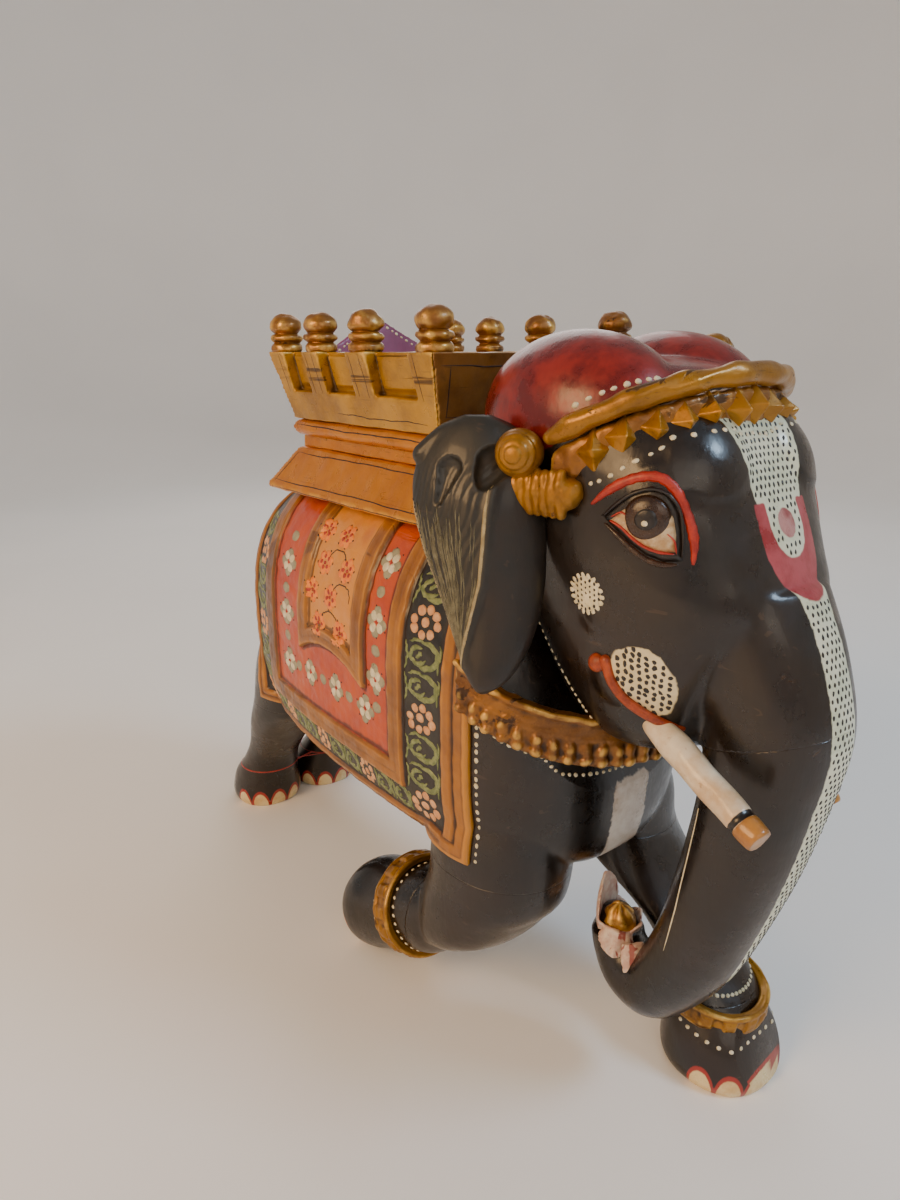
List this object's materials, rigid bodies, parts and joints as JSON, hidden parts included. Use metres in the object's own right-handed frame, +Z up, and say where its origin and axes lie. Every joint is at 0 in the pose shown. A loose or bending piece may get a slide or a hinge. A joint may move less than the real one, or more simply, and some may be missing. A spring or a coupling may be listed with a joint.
{
  "type": "carved elephant figurine",
  "caption": "Carved and painted wooden elephant in a walking pose with a railed howdah that lifts off its back.",
  "frame": {"origin": "on the ground, under the middle of the whole figure", "axes": "+Z up, the elephant faces -Y, +X is its left side"},
  "size_m": [0.2094, 0.539, 0.422],
  "materials": {
    "black_lacquer": "black-brown lacquer, semi-gloss, with painted work",
    "ear_grey": "black with fine grey brush strokes, satin",
    "ivory_paint": "cream paint over wood, worn, satin",
    "old_gold": "old bronze-gold paint, satin",
    "bright_gold": "orange-gold paint with dark drawn lines, satin",
    "purple_paint": "purple paint, satin",
    "lotus_pink": "cream and pink paint with red streaks, satin",
    "bare_wood": "bare wood, raw",
    "brown_paint": "dark gold-brown paint, satin"
  },
  "bodies": {
    "elephant": {"torso": "black_lacquer", "head": "black_lacquer", "trunk": "black_lacquer", "trunk_bud": "lotus_pink", "right_ear": "ear_grey", "left_ear": "ear_grey", "right_tusk": "ivory_paint", "left_tusk": "ivory_paint", "right_foreleg": "black_lacquer", "right_forefoot": "black_lacquer", "left_foreleg": "black_lacquer", "left_forefoot": "black_lacquer", "right_hind_leg": "black_lacquer", "left_hind_leg": "black_lacquer", "tail": "black_lacquer", "headband": "old_gold", "right_ear_knob": "old_gold", "left_ear_knob": "old_gold", "bell_collar": "old_gold", "howdah_pegs": "bare_wood", "neck_dowels": "bare_wood", "trunk_dowel": "bare_wood", "ear_dowels": "bare_wood", "leg_dowels": "bare_wood", "tail_dowel": "bare_wood"},
    "howdah": {"howdah_skirt_right": "bright_gold", "howdah_skirt_left": "bright_gold", "howdah_skirt_front": "bright_gold", "howdah_skirt_rear": "bright_gold", "howdah_moulding_right": "bright_gold", "howdah_moulding_left": "bright_gold", "howdah_moulding_front": "bright_gold", "howdah_moulding_rear": "bright_gold", "howdah_base": "brown_paint", "howdah_floor": "brown_paint", "howdah_wall_right": "old_gold", "howdah_wall_left": "old_gold", "howdah_wall_front": "old_gold", "howdah_wall_rear": "old_gold", "howdah_backrest": "purple_paint", "finials_right": "old_gold", "finials_left": "old_gold"}
  },
  "joints": [
    {"name": "howdah_lift", "type": "slide", "parent": "elephant", "child": "howdah", "axis": [0, 0, 1], "range_m": [0, 0.12]}
  ]
}
